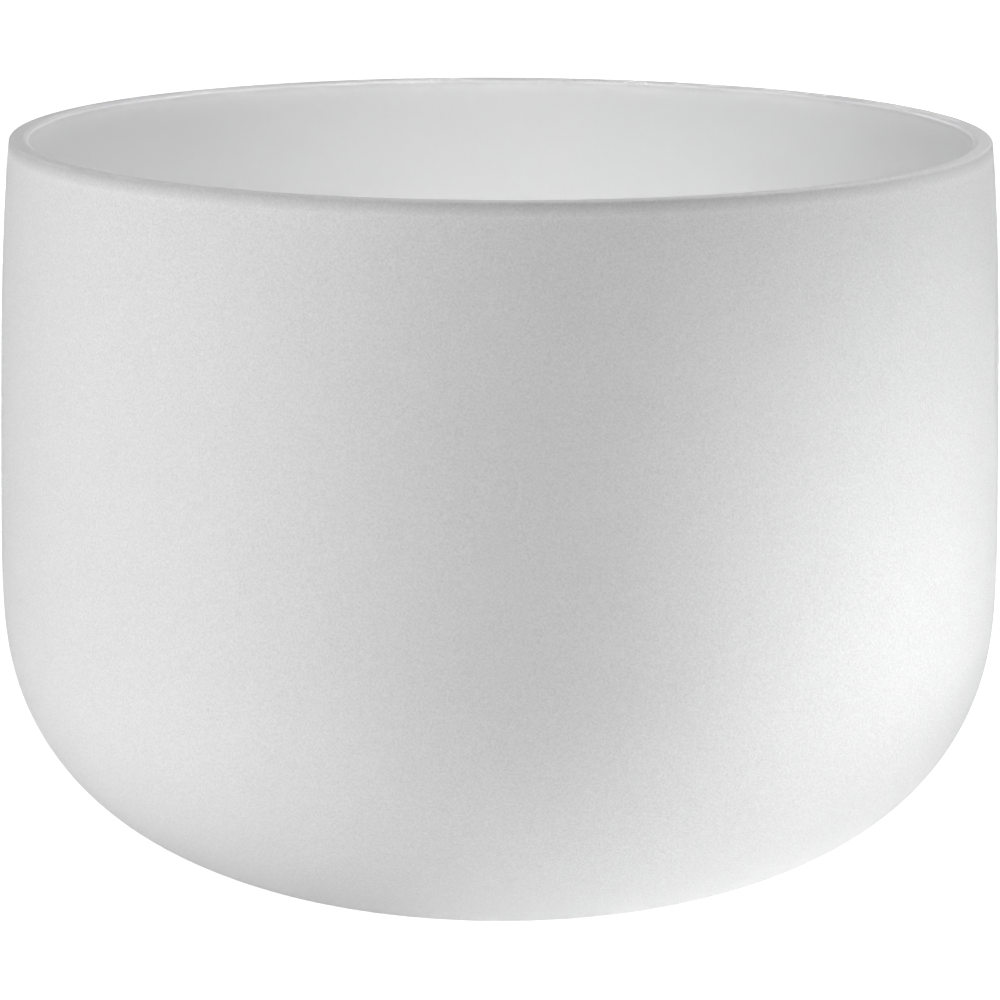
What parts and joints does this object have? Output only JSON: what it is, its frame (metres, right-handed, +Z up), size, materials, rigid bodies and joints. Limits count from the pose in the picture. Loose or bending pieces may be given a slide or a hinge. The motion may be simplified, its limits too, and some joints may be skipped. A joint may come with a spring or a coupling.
{
  "type": "singing bowl",
  "caption": "Frosted white quartz crystal singing bowl, a deep round vessel with a thick wall, a gently curved underside and a flat ground rim.",
  "frame": {"origin": "centre of the flat foot that the bowl stands on", "axes": "+Z up along the bowl's axis of revolution, from the foot to the mouth"},
  "size_m": [0.305, 0.305, 0.2305],
  "materials": {
    "frosted_quartz": "frosted white quartz, fine pebbled grain outside, satin inside, smoother ground rim"
  },
  "bodies": {
    "root": {"bowl": "frosted_quartz"}
  },
  "joints": []
}
